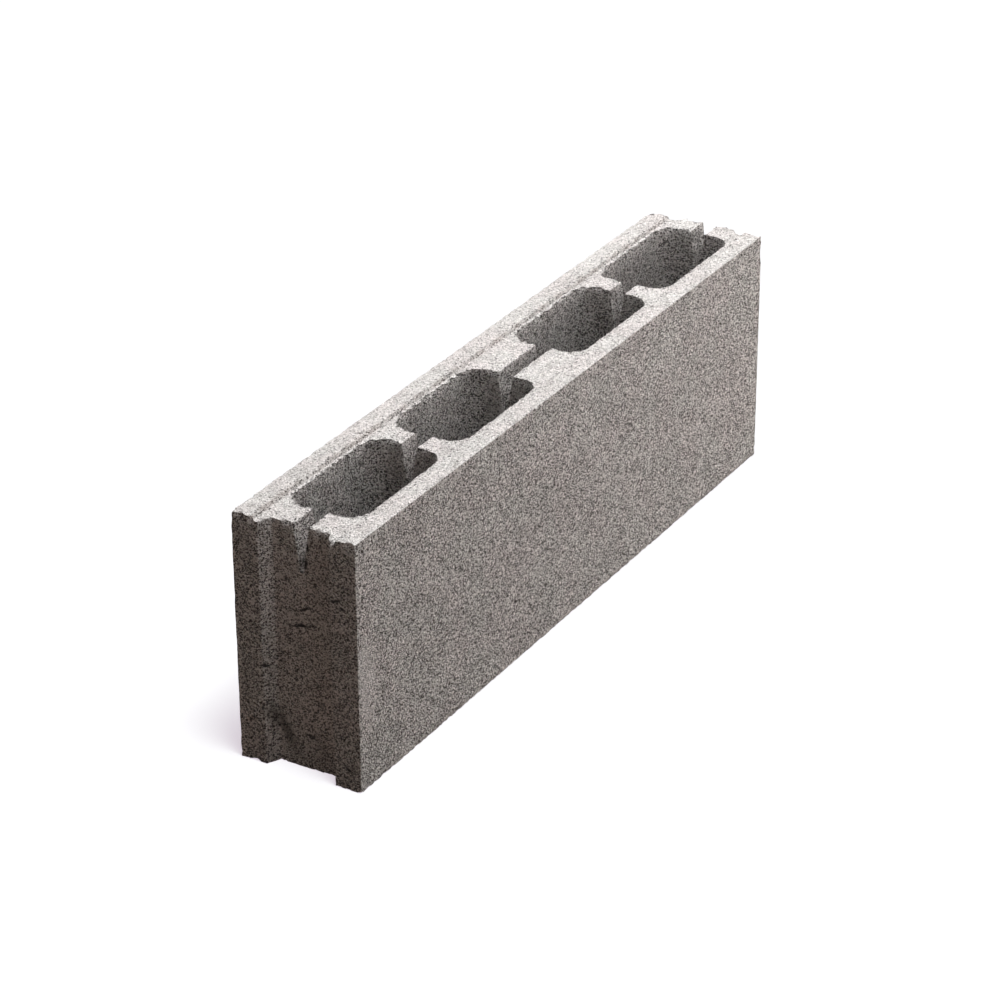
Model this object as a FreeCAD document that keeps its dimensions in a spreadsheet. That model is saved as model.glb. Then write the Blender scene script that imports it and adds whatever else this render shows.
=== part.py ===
import FreeCAD, Part
import math
import os
import Sketcher

# A hollow concrete partition block, pressed in one piece and stood as it leaves the mould.
# X runs along the block from the grooved end to the tongued end, Y across it, Z up.
# The origin is the middle of the block's own box, at the level of the bed face.

# Driving dimensions in millimetres and degrees: name, value, what it is
SIZES = (
    ("face_length", 600, "length of the two broad faces, from end face to end face"),
    ("block_width", 100, "thickness of the block across both broad faces"),
    ("block_height", 195, "height from the bed face to the top of the raised strips"),
    ("groove_depth", 10, "depth of the groove in the first end"),
    ("groove_mouth", 57, "width of the groove at the end face"),
    ("flank_run", 5.5, "how far each flank of the groove leans in by its floor"),
    ("tongue_end_gap", 2.5, "clearance from the tongue's tip to a groove's floor"),
    ("tongue_side_gap", 1.5, "clearance from each flank of the tongue to a groove's"),
    ("groove_web", 26, "concrete from the groove's floor to the first cell"),
    ("tongue_web", 22.5, "concrete from the last cell to the tongue's tip"),
    ("cross_web", 21, "web between the two cells of one half"),
    ("middle_web", 57.5, "double web where the block is split into halves"),
    ("face_shell", 20.5, "wall between a cell and a broad face, at the top"),
    ("cell_radius", 14.5, "corner radius of a cell, at the top"),
    ("core_draft", 0.6, "draft in degrees of the cells, which narrow towards the bed"),
    ("strip_width", 15.5, "flat top of the raised strip along each broad face"),
    ("strip_rise", 2.7, "height of the strips above the webs"),
    ("strip_run", 1.5, "how far the inner side of a strip leans over its height"),
    ("notch_mouth", 12.5, "width of the core bar notch at the top of the webs"),
    ("notch_root", 2.5, "width of the core bar notch at its bottom"),
    ("notch_depth", 36, "depth of the core bar notch below the top of the webs"),
    ("arris_radius", 1.2, "rounding of the upright corners left by the mould"),
)

# Sizes that follow from the driving ones, as formulas
TONGUE_REACH = "(Sizes.groove_depth - Sizes.tongue_end_gap)"
TONGUE_ROOT = "(Sizes.groove_mouth - 2 * Sizes.tongue_side_gap)"
TONGUE_LEAN = f"(Sizes.flank_run * {TONGUE_REACH} / Sizes.groove_depth)"
FULL_LENGTH = f"(Sizes.face_length + {TONGUE_REACH})"
WEB_TOTAL = "(Sizes.groove_web + Sizes.tongue_web + 2 * Sizes.cross_web + Sizes.middle_web)"
CELL_LENGTH = f"(({FULL_LENGTH} - Sizes.groove_depth - {WEB_TOTAL}) / 4)"
CELL_WIDTH = "(Sizes.block_width - 2 * Sizes.face_shell)"
CELL_START = f"({FULL_LENGTH} / 2 - Sizes.groove_depth - Sizes.groove_web)"
PAIR_PITCH = f"({CELL_LENGTH} + Sizes.cross_web)"
HALF_PITCH = f"(2 * {CELL_LENGTH} + Sizes.cross_web + Sizes.middle_web)"
WEB_TOP = "(Sizes.block_height - Sizes.strip_rise)"
LEDGE_WIDTH = "(Sizes.block_width - 2 * Sizes.strip_width - 2 * Sizes.strip_run)"

# Point and axes that every sketch shares
ORIGIN = (-1, 1)
LENGTHWISE_AXIS = -1
UPWARD_AXIS = -2


def write_sizes(doc):
    """The sheet of driving dimensions, one named cell for each."""
    sheet = doc.addObject("Spreadsheet::Sheet", "Sizes")
    for row, (name, value, meaning) in enumerate(SIZES, start=1):
        sheet.set(f"A{row}", name)
        sheet.set(f"B{row}", str(value))
        sheet.set(f"C{row}", meaning)
        sheet.setAlias(f"B{row}", name)
    doc.recompute()


def origin_part(body, role):
    """One of the body's own origin planes or axes."""
    return next(part for part in body.Origin.OriginFeatures if part.Role == role)


def sketch_on(body, plane, name):
    """A new sketch on one of the body's own origin planes."""
    sketch = body.newObject("Sketcher::SketchObject", name)
    sketch.AttachmentSupport = (origin_part(body, plane), [""])
    sketch.MapMode = "FlatFace"
    return sketch


def start_of(line):
    """The start point of a sketch's line or arc, as its constraints name it."""
    return line, 1


def end_of(line):
    """The end point of a sketch's line or arc, as its constraints name it."""
    return line, 2


def draw_outline(sketch, corners):
    """A closed outline of straight lines, where line i starts at corner i. The corners are only
    roughly in place, and the sketch's dimensions move them."""
    points = [FreeCAD.Vector(x, y, 0) for x, y in corners]
    count = len(points)
    for index in range(count):
        line = Part.LineSegment(points[index], points[(index + 1) % count])
        sketch.addGeometry(line, False)
    for index in range(count):
        after = start_of((index + 1) % count)
        sketch.addConstraint(Sketcher.Constraint("Coincident", *end_of(index), *after))


def mirror_corners(sketch, pairs, axis):
    """Holds the two corners of each pair opposite each other across an axis."""
    for one, other in pairs:
        mirrored = Sketcher.Constraint("Symmetric", *start_of(one), *start_of(other), axis)
        sketch.addConstraint(mirrored)


def bind(sketch, name, kind, first, second, formula):
    """A named dimension from one point to another, held to a formula."""
    gap = sketch.getPoint(*second) - sketch.getPoint(*first)
    drawn = gap.x if kind == "DistanceX" else gap.y
    number = sketch.addConstraint(Sketcher.Constraint(kind, *first, *second, drawn))
    sketch.renameConstraint(number, name)
    sketch.setExpression(f"Constraints.{name}", formula)


def draw_plan(body):
    """The plan: two broad faces, the tongued end at the right, the grooved one at the left."""
    sketch = sketch_on(body, "XY_Plane", "Plan")
    near_side = [(-300, -50), (300, -50), (300, -27), (308, -23)]
    far_side = [(x, -y) for x, y in reversed(near_side)]
    groove = [(-300, 28), (-290, 23), (-290, -23), (-300, -28)]
    draw_outline(sketch, near_side + far_side + groove)
    pairs = ((0, 7), (1, 6), (2, 5), (3, 4), (11, 8), (10, 9))
    mirror_corners(sketch, pairs, LENGTHWISE_AXIS)
    sketch.addConstraint(Sketcher.Constraint("Horizontal", 0))
    sketch.addConstraint(Sketcher.Constraint("Vertical", 1))
    sketch.addConstraint(Sketcher.Constraint("Vertical", 11))
    corner = [start_of(index) for index in range(12)]
    bind(sketch, "length", "DistanceX", corner[0], corner[1], "Sizes.face_length")
    bind(sketch, "width", "DistanceY", corner[0], corner[7], "Sizes.block_width")
    bind(sketch, "tip", "DistanceX", ORIGIN, corner[3], f"{FULL_LENGTH} / 2")
    bind(sketch, "tongue_reach", "DistanceX", corner[1], corner[3], TONGUE_REACH)
    bind(sketch, "tongue_root", "DistanceY", corner[2], corner[5], TONGUE_ROOT)
    bind(sketch, "tongue_lean", "DistanceY", corner[2], corner[3], TONGUE_LEAN)
    bind(sketch, "groove_depth", "DistanceX", corner[11], corner[10], "Sizes.groove_depth")
    bind(sketch, "groove_mouth", "DistanceY", corner[11], corner[8], "Sizes.groove_mouth")
    bind(sketch, "groove_lean", "DistanceY", corner[11], corner[10], "Sizes.flank_run")
    return sketch


def press_block(body):
    """The block before its cells, notch and strips, with its groove and tongue."""
    block = body.newObject("PartDesign::Pad", "Block")
    block.Profile = draw_plan(body)
    block.setExpression("Length", "Sizes.block_height")
    return block


def is_upright(edge):
    """Whether both ends of an edge are over the same point of the plan."""
    low, high = edge.Vertexes[0].Point, edge.Vertexes[-1].Point
    return math.hypot(high.x - low.x, high.y - low.y) < edge.Length / 1000


def round_arrises(body, block):
    """The small rounding of every upright corner, groove and tongue included."""
    body.Document.recompute()
    edges = enumerate(block.Shape.Edges, start=1)
    upright = [f"Edge{number}" for number, edge in edges if is_upright(edge)]
    arrises = body.newObject("PartDesign::Fillet", "Arrises")
    arrises.Base = (block, upright)
    arrises.setExpression("Radius", "Sizes.arris_radius")


def draw_cell_mouth(body):
    """The mouth of the first cell: a rectangle with four equal rounded corners."""
    sketch = sketch_on(body, "XY_Plane", "CellMouth")
    sketch.setExpression("AttachmentOffset.Base.z", "Sizes.block_height")
    left, right, side, radius = -268, -155, 30, 14
    turns = ((right, -side, -1, 1), (right, side, -1, -1), (left, side, 1, -1), (left, -side, 1, 1))
    upwards = FreeCAD.Vector(0, 0, 1)
    arcs = []
    for quarter, (x, y, inward_x, inward_y) in enumerate(turns):
        centre = FreeCAD.Vector(x + inward_x * radius, y + inward_y * radius, 0)
        begin = (quarter - 1) * math.pi / 2
        circle = Part.Circle(centre, upwards, radius)
        arcs.append(Part.ArcOfCircle(circle, begin, begin + math.pi / 2))
    for index, arc in enumerate(arcs):
        sketch.addGeometry(Part.LineSegment(arcs[index - 1].EndPoint, arc.StartPoint), False)
        sketch.addGeometry(arc, False)
    for index in range(8):
        tangent = Sketcher.Constraint("Tangent", *end_of(index), *start_of((index + 1) % 8))
        sketch.addConstraint(tangent)
    near, right_side, far, left_side = 0, 2, 4, 6
    for line in (near, far):
        sketch.addConstraint(Sketcher.Constraint("Horizontal", line))
    for line in (right_side, left_side):
        sketch.addConstraint(Sketcher.Constraint("Vertical", line))
    for arc in (3, 5, 7):
        sketch.addConstraint(Sketcher.Constraint("Equal", 1, arc))
    number = sketch.addConstraint(Sketcher.Constraint("Radius", 1, radius))
    sketch.renameConstraint(number, "corner")
    sketch.setExpression("Constraints.corner", "Sizes.cell_radius")
    left_end, right_end = start_of(left_side), start_of(right_side)
    bind(sketch, "start", "DistanceX", left_end, ORIGIN, CELL_START)
    bind(sketch, "length", "DistanceX", left_end, right_end, CELL_LENGTH)
    bind(sketch, "middle", "DistanceY", start_of(near), ORIGIN, f"{CELL_WIDTH} / 2")
    bind(sketch, "width", "DistanceY", start_of(near), start_of(far), CELL_WIDTH)
    return sketch


def add_step(body, name, pitch):
    """One repeat along the block, at a pitch that follows a formula."""
    step = body.newObject("PartDesign::LinearPattern", name)
    step.Direction = (origin_part(body, "X_Axis"), [""])
    step.Mode = "Spacing"
    step.Occurrences = 2
    step.setExpression("Offset", pitch)
    return step


def core_cells(body):
    """Four cells right through the block: two in each half, narrowing downwards."""
    cell = body.newObject("PartDesign::Pocket", "Cell")
    cell.Profile = draw_cell_mouth(body)
    cell.Type = "Length"
    cell.setExpression("Length", "Sizes.block_height")
    cell.setExpression("TaperAngle", "-Sizes.core_draft")
    cells = body.newObject("PartDesign::MultiTransform", "Cells")
    cells.Originals = [cell]
    steps = (("NextCell", PAIR_PITCH), ("NextHalf", HALF_PITCH))
    cells.Transformations = [add_step(body, name, pitch) for name, pitch in steps]
    body.Tip = cells


def cut_lengthwise(body, name, sketch):
    """Cuts a cross section away along the whole length of the block."""
    cut = body.newObject("PartDesign::Pocket", name)
    cut.Profile = sketch
    cut.Type = "ThroughAll"
    cut.SideType = "Symmetric"


def sink_ledges(body):
    """Lowers all between the two raised strips, which lean outwards to their tops."""
    sketch = sketch_on(body, "YZ_Plane", "LedgeSection")
    corners = [(-33, 192), (33, 192), (35, 195), (-35, 195)]
    draw_outline(sketch, corners)
    mirror_corners(sketch, ((0, 1), (3, 2)), UPWARD_AXIS)
    low_left, low_right, high_left = start_of(0), start_of(1), start_of(3)
    bind(sketch, "floor", "DistanceX", low_left, low_right, LEDGE_WIDTH)
    bind(sketch, "lean", "DistanceX", high_left, low_left, "Sizes.strip_run")
    bind(sketch, "rise", "DistanceY", low_left, high_left, "Sizes.strip_rise")
    bind(sketch, "top", "DistanceY", ORIGIN, high_left, "Sizes.block_height")
    cut_lengthwise(body, "Ledges", sketch)


def cut_notch(body):
    """The tapered notch through all five webs, left by the bar that held the cores."""
    sketch = sketch_on(body, "YZ_Plane", "NotchSection")
    corners = [(-1, 156), (1, 156), (6, 192), (-6, 192)]
    draw_outline(sketch, corners)
    mirror_corners(sketch, ((0, 1), (3, 2)), UPWARD_AXIS)
    low_left, low_right, high_right, high_left = (start_of(line) for line in range(4))
    bind(sketch, "root", "DistanceX", low_left, low_right, "Sizes.notch_root")
    bind(sketch, "mouth", "DistanceX", high_left, high_right, "Sizes.notch_mouth")
    bind(sketch, "depth", "DistanceY", low_left, high_left, "Sizes.notch_depth")
    bind(sketch, "top", "DistanceY", ORIGIN, high_left, WEB_TOP)
    cut_lengthwise(body, "Notch", sketch)


def check(doc, body):
    """Stops if an object failed, a cut removed nothing or the block isn't one solid."""
    for item in doc.Objects:
        if {"Invalid", "Error"} & set(item.State):
            raise RuntimeError(f"{item.Name} could not be made: {item.State}")
    before = doc.getObject("Arrises").Shape.Volume
    for name in ("Cell", "Cells", "Ledges", "Notch"):
        after = doc.getObject(name).Shape.Volume
        if after >= before:
            raise RuntimeError(f"{name} cuts nothing")
        before = after
    if body.Shape.isNull() or not body.Shape.isValid() or len(body.Shape.Solids) != 1:
        raise RuntimeError(f"{body.Label} is not one sound solid")


def build():
    """Makes the document, then the block, and writes it to its file."""
    doc = FreeCAD.newDocument("PartitionBlock")
    write_sizes(doc)
    body = doc.addObject("PartDesign::Body", "PartitionBlock")
    body.Label = "partition_block"
    round_arrises(body, press_block(body))
    core_cells(body)
    sink_ledges(body)
    cut_notch(body)
    doc.recompute()
    check(doc, body)
    os.makedirs("parts", exist_ok=True)
    body.Shape.exportStep(f"parts/{body.Label}.step")
    box = body.Shape.BoundBox
    print(f"{body.Label}: {body.Shape.Volume / 1e6:.4f} litres, {box}")


build()
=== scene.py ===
import itertools
import math

import bpy
import numpy as np
from mathutils import Matrix, Vector


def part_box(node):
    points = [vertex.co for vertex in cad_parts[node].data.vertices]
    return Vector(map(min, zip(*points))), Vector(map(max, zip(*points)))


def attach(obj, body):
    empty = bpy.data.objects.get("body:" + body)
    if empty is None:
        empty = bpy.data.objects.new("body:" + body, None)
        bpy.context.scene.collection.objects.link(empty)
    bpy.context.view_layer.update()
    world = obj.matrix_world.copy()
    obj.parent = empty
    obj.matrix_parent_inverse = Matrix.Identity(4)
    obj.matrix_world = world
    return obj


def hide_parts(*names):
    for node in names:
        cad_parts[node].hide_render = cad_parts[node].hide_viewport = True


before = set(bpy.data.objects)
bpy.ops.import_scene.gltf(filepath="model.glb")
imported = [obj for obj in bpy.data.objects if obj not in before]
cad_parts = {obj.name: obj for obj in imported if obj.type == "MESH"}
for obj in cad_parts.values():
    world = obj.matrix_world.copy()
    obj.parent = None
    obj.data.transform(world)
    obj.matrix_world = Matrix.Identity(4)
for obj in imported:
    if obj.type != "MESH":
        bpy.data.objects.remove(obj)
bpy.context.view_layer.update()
CAST_LOW, CAST_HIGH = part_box("partition_block")

bl_info = {
    "name": "Concrete Partition Block",
    "version": (1, 0, 0),
    "blender": (4, 5, 0),
    "location": "3D View > Sidebar > Block",
    "description": "Casts a hollow concrete partition block and sets it on a studio floor",
    "category": "Add Mesh",
}

MM = 0.001
PIECE = "cast_block"
NODE = "partition_block"
BODY = "root"


def linear(hex_code):
    """The linear colour of an sRGB hex code such as 8c857f."""
    channels = [int(hex_code[i:i + 2], 16) / 255 for i in (0, 2, 4)]
    return [c / 12.92 if c <= 0.04045 else ((c + 0.055) / 1.055) ** 2.4 for c in channels]


def length(name, millimetres, description):
    """A length in metres, whose default is given in millimetres."""
    return bpy.props.FloatProperty(
        name=name, description=description, default=millimetres * MM, min=0, precision=4, unit="LENGTH"
    )


def angle(name, degrees, description):
    """An angle in radians, whose default is given in degrees."""
    return bpy.props.FloatProperty(
        name=name, description=description, default=math.radians(degrees), unit="ROTATION"
    )


def colour(name, hex_code, description):
    """A colour whose default is an sRGB hex code."""
    return bpy.props.FloatVectorProperty(
        name=name, description=description, default=linear(hex_code), subtype="COLOR", min=0, max=1
    )


def place(name, millimetres, description):
    """A point in metres, whose default is given in millimetres."""
    return bpy.props.FloatVectorProperty(
        name=name, description=description, default=[v * MM for v in millimetres], subtype="TRANSLATION"
    )


def power(name, watts, description):
    """A lamp's power in watts."""
    return bpy.props.FloatProperty(name=name, description=description, default=watts, min=0, unit="POWER")


class BlockSizes(bpy.types.PropertyGroup):
    """Sizes inside the block's overall box, which comes from the frame."""

    groove_depth: length("Groove depth", 10, "Depth of the groove in the first end")
    groove_mouth: length("Groove mouth", 57, "Width of the groove at the end face")
    flank_run: length("Flank run", 5.5, "Lean of each groove flank over the groove's depth")
    tongue_end_gap: length("Tongue end gap", 2.5, "Clearance in front of the tongue")
    tongue_side_gap: length("Tongue side gap", 1.5, "Clearance beside each tongue flank")
    groove_web: length("Groove web", 26, "Concrete from the groove's floor to the first cell")
    tongue_web: length("Tongue web", 22.5, "Concrete from the last cell to the tongue's tip")
    cross_web: length("Cross web", 21, "Web between the two cells of one half")
    middle_web: length("Middle web", 57.5, "Double web in the middle of the block")
    face_shell: length("Face shell", 20.5, "Wall between a cell and a broad face")
    cell_radius: length("Cell radius", 14.5, "Corner radius of a cell at the top")
    core_draft: angle("Core draft", 0.6, "Taper of each cell wall towards the bed")
    strip_width: length("Strip width", 15.5, "Flat top of each raised strip")
    strip_rise: length("Strip rise", 2.7, "Height of the strips above the webs")
    strip_run: length("Strip run", 1.5, "Lean of a strip's inner side")
    notch_mouth: length("Notch mouth", 12.5, "Width of the notch at the top of the webs")
    notch_root: length("Notch root", 2.5, "Width of the notch at its bottom")
    notch_depth: length("Notch depth", 36, "Depth of the notch below the webs")


class ConcreteLook(bpy.types.PropertyGroup):
    """Colours and wear of the concrete."""

    paste: colour("Paste", "d2cecc", "Hardened cement paste between the grains")
    pale_grain: colour("Pale grain", "f8f4f2", "Pale sand grains in the surface")
    dark_grain: colour("Dark grain", "524c49", "Dark sand grains in the surface")
    pore: colour("Pore", "1f1c1a", "Shaded bottom of an open pore")
    crumble: length("Crumble", 0.6, "Typical depth of the crumbs missing from an arris")
    rim_bite: length("Rim bite", 2, "Deepest bites out of the rims of the cells and of both ends")
    relief: length("Relief", 0.2, "Typical unevenness of a face")


class StudioLook(bpy.types.PropertyGroup):
    """Camera and lamps."""

    azimuth: angle("Azimuth", -59.316, "Camera direction round the block")
    elevation: angle("Elevation", 27.66, "Camera height above the horizon")
    roll: angle("Roll", -0.277, "Camera turn about its own axis")
    distance: length("Distance", 2591.4, "Camera distance from its aim")
    aim: place("Aim", (-14.5, 9.3, 82.7), "Point at the middle of the picture")
    lens: bpy.props.FloatProperty(
        name="Lens", description="Focal length in millimetres on a sensor 36 mm wide", default=124.29
    )
    overhead_power: power("Overhead power", 36, "Wide soft box overhead, behind the tongued half")
    top_power: power("Top power", 6.7, "Soft box overhead, before the block's middle")
    front_top_power: power("Front top power", 10.8, "Soft box high before the broad face")
    high_power: power("High power", 2.4, "Small soft box over the tongued half")
    low_power: power("Low power", 3.6, "Low soft box before the tongued corner")
    front_power: power("Front power", 1.55, "Low soft box before the broad face")
    side_power: power("Side power", 1.75, "Soft box before the grooved end's corner")
    end_power: power("End power", 1.95, "Weak warm light on the grooved end")
    back_power: power("Back power", 5, "Soft box behind the block")
    floor_power: power("Floor light", 1.75, "Even light on the paper alone, in watts per square metre")


def smooth_step(values):
    """3 t squared minus 2 t cubed, where t is the value held from 0 to 1."""
    t = np.clip(values, 0, 1)
    return t * t * (3 - 2 * t)


def spaced(stops, counts):
    """A line through the stops, where each stretch between two stops has its own count of equal steps."""
    runs = [np.linspace(a, b, n, endpoint=False) for a, b, n in zip(stops, stops[1:], counts)]
    return np.concatenate([*runs, stops[-1:]])


ARRIS_STEP = 0.9


def graded(growth, widest, total, both_ends=True):
    """Shares from 0 to 1 of a total length in millimetres. Steps grow by a factor from the one beside
    an arris, which is small enough to show a crumb, up to the widest, from one end or from both ends,
    and are then scaled together so that they fill the total."""
    reach = total / 2 if both_ends else total
    steps = []
    while sum(steps) < reach:
        steps.append(min(ARRIS_STEP * growth ** len(steps), widest))
    if both_ends:
        steps = steps + steps[::-1]
    return np.concatenate([[0], np.cumsum(steps)]) / sum(steps)


class Form:
    """The block's true form, worked out from the frame's box and the block's sizes."""

    # Columns of faces on each stretch of the lines along a cell and across the ends. The grooved end
    # has more, because its arrises are crumbly.
    CELL_COLUMNS = 48
    CORNER_COLUMNS = 12
    MIDDLE_COLUMNS = 22
    NOTCH_ROOT_COLUMNS = 4
    GROOVE_COLUMNS = (12, 9, 8, 5, 4)
    TONGUE_COLUMNS = (10, 4, 4, 2, 2)

    def __init__(self, sizes):
        self.left, self.tip = CAST_LOW.x, CAST_HIGH.x
        self.half_width, self.height = CAST_HIGH.y, CAST_HIGH.z
        reach = sizes.groove_depth - sizes.tongue_end_gap
        self.shoulder = self.tip - reach
        self.groove_floor = self.left + sizes.groove_depth
        self.groove_lean = math.cos(math.atan2(sizes.groove_depth, sizes.flank_run))

        mouth = sizes.groove_mouth / 2
        root = mouth - sizes.tongue_side_gap
        self.groove_bends = (mouth - sizes.flank_run, mouth)
        self.tongue_bends = (root - sizes.flank_run * reach / sizes.groove_depth, root)

        self.web_top = self.height - sizes.strip_rise
        self.strip_edge = self.half_width - sizes.strip_width
        self.ledge = self.strip_edge - sizes.strip_run
        self.notch_top, self.notch_bottom = sizes.notch_mouth / 2, sizes.notch_root / 2
        self.notch_root = self.web_top - sizes.notch_depth

        webs = sizes.groove_web + sizes.tongue_web + 2 * sizes.cross_web + sizes.middle_web
        cell_length = (self.tip - self.groove_floor - webs) / 4
        gaps = (sizes.groove_web, sizes.cross_web, sizes.middle_web, sizes.cross_web)
        self.cell_starts = self.groove_floor + np.cumsum(gaps) + cell_length * np.arange(4)
        self.radius = sizes.cell_radius
        self.collar = sizes.cross_web / 2
        self.core_half_length = cell_length / 2 - self.radius
        self.core_half_width = self.half_width - sizes.face_shell - self.radius
        self.cell_centres = self.cell_starts + cell_length / 2
        self.draft = math.tan(sizes.core_draft)

    def left_edge(self, y):
        """X of the grooved end at each Y: the groove's floor, its leaning flanks and the end face."""
        return np.interp(np.abs(y), self.groove_bends, (self.groove_floor, self.left))

    def right_edge(self, y):
        """X of the tongued end at each Y: the tongue's tip, its leaning flanks and the shoulders."""
        return np.interp(np.abs(y), self.tongue_bends, (self.tip, self.shoulder))

    def top(self, y):
        """Height of the top at each Y: notch root, notch flank, web, strip side and strip."""
        stops = (self.notch_bottom, self.notch_top, self.ledge, self.strip_edge)
        return np.interp(np.abs(y), stops, (self.notch_root, self.web_top, self.web_top, self.height))

    def cell_at(self, z):
        """Corner radius of a cell at height z. Every wall leans in towards the bed by the core's draft,
        so the centres of the corners stay where they are and the radius alone gets smaller."""
        return self.radius - (self.height - z) * self.draft

    def cross_lines(self, bends, counts):
        """Y lines over the webs between the two ledges, through the notch and an end's two bends."""
        stops = (self.notch_bottom, self.notch_top, self.core_half_width, *bends, self.ledge)
        half = spaced(stops, counts)
        root = spaced((-self.notch_bottom, self.notch_bottom), (self.NOTCH_ROOT_COLUMNS,))
        return np.concatenate([-half[:0:-1], root, half[1:]])

    def groove_lines(self):
        """Y lines of the grooved end, whose crumbly arrises need them close together."""
        return self.cross_lines(self.groove_bends, self.GROOVE_COLUMNS)

    def tongue_lines(self):
        """Y lines of the tongued end and of all webs but the first."""
        return self.cross_lines(self.tongue_bends, self.TONGUE_COLUMNS)

    def strip_lines(self):
        """Y lines over one raised strip, from its foot at the ledge out to the broad face."""
        side = spaced((self.ledge, self.strip_edge), (2,))
        width = self.half_width - self.strip_edge
        return np.concatenate([side, self.strip_edge + width * graded(1.4, 2.4, width / MM)[1:]])

    def cell_lines(self, centre):
        """X lines beside one cell, out to the middle of the web on each side of it."""
        corner = self.radius + self.collar
        half = self.core_half_length
        counts = (self.CORNER_COLUMNS, self.CELL_COLUMNS, self.CORNER_COLUMNS)
        return centre + spaced((-half - corner, -half, half, half + corner), counts)

    def end_shares(self, width):
        """Shares of the way in from an end face, with the small steps at the face."""
        return graded(1.35, 2.6, width / MM, both_ends=False)

    def length_lines(self):
        """X lines of the whole block, from the grooved end face to the shoulders."""
        cells = [self.cell_lines(centre) for centre in self.cell_centres]
        first, last = cells[0][0], cells[-1][-1]
        start = self.left + (first - self.left) * self.end_shares(first - self.left)
        end = self.shoulder - (self.shoulder - last) * self.end_shares(self.tip - last)[::-1]
        middle = spaced((cells[1][-1], cells[2][0]), (self.MIDDLE_COLUMNS,))
        runs = [start, cells[0], cells[1], middle, cells[2], cells[3], end]
        return np.concatenate([runs[0], *[run[1:] for run in runs[1:]]])

    def collar_loop(self, number):
        """The rectangle round a cell, anticlockwise, half a web from each end and at the two ledges."""
        x = self.cell_lines(self.cell_centres[number])
        left_y = self.groove_lines() if number == 0 else self.tongue_lines()
        right_y = self.tongue_lines()
        sides = [
            (x, np.full_like(x, -self.ledge)),
            (np.full_like(right_y, x[-1]), right_y),
            (x[::-1], np.full_like(x, self.ledge)),
            (np.full_like(left_y, x[0]), left_y[::-1]),
        ]
        loop = np.concatenate([np.stack(side, 1)[:-1] for side in sides])
        return np.concatenate([loop, loop[:1]])

    def cell_rays(self, number):
        """Where the lines round a cell start and which way they go: the start is the collar's point
        held inside the rectangle of the corner centres, and the way is from there to the collar."""
        loop = self.collar_loop(number)
        centre = np.array([self.cell_centres[number], 0])
        half = np.array([self.core_half_length, self.core_half_width])
        start = centre + np.clip(loop - centre, -half, half)
        way = loop - start
        return loop, start, way / np.linalg.norm(way, axis=1, keepdims=True)

    def cell_distance(self, points):
        """Distance from each point to the wall of the nearest cell: past the rectangle of the corner
        centres it is the distance to that rectangle, less the corner radius at the point's height."""
        across = np.maximum(np.abs(points[:, 1]) - self.core_half_width, 0)
        along = np.abs(points[:, 0, None] - self.cell_centres[None, :]).min(1) - self.core_half_length
        return np.abs(np.hypot(np.maximum(along, 0), across) - self.cell_at(points[:, 2]))

    def rim_distance(self, points):
        """Distance from each point to the nearest rim that a core or the tamping head leaves: in plan
        to a cell's wall, the notch's mouth or a strip's foot or edge, and then down from the webs."""
        across = np.abs(np.abs(points[:, 1, None]) - (self.notch_top, self.ledge, self.strip_edge)).min(1)
        below = np.maximum(self.web_top - points[:, 2], 0)
        return np.hypot(np.minimum(self.cell_distance(points), across), below)

    def arris_distance(self, points):
        """Distance from each point of the surface to the nearest arris. Of its distances to the top,
        the bed, the outline and the cells the least is 0, so the next one leads to an arris. The
        notch's mouth, the strips' edges and the outline's own corners are measured one by one."""
        x, y, z = points[:, 0], np.abs(points[:, 1]), points[:, 2]
        notch_half = np.interp(z, (self.notch_root, self.web_top), (self.notch_bottom, self.notch_top))
        to_notch = np.hypot(np.maximum(y - notch_half, 0), np.maximum(self.notch_root - z, 0))
        plain_top = np.interp(y, (self.ledge, self.strip_edge), (self.web_top, self.height))
        to_top = np.minimum(to_notch, np.maximum(plain_top - z, 0))
        in_groove = (y > self.groove_bends[0]) & (y < self.groove_bends[1])
        to_left = (x - self.left_edge(y)) * np.where(in_groove, self.groove_lean, 1)
        in_tongue = (y > self.tongue_bends[0]) & (y < self.tongue_bends[1])
        to_right = (self.right_edge(y) - x) * np.where(in_tongue, self.groove_lean, 1)
        to_outline = np.minimum(self.half_width - y, np.minimum(to_left, to_right))
        faces = np.sort(np.abs(np.stack([to_top, z, to_outline, self.cell_distance(points)])), axis=0)
        corners = (
            (self.left, self.half_width), (self.left, self.groove_bends[1]),
            (self.shoulder, self.half_width), (self.tip, self.tongue_bends[0]),
        )
        lines = [np.hypot(x - corner_x, y - corner_y) for corner_x, corner_y in corners]
        lines.append(np.hypot(y - self.notch_top, z - self.web_top))
        lines.append(np.hypot(y - self.strip_edge, z - self.height))
        return np.minimum(faces[1], np.min(lines, axis=0))


def lifted(plan, z):
    """A plan grid of X and Y set at height z."""
    return np.concatenate([plan, np.broadcast_to(z, plan.shape[:2])[..., None]], axis=2)


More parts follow.
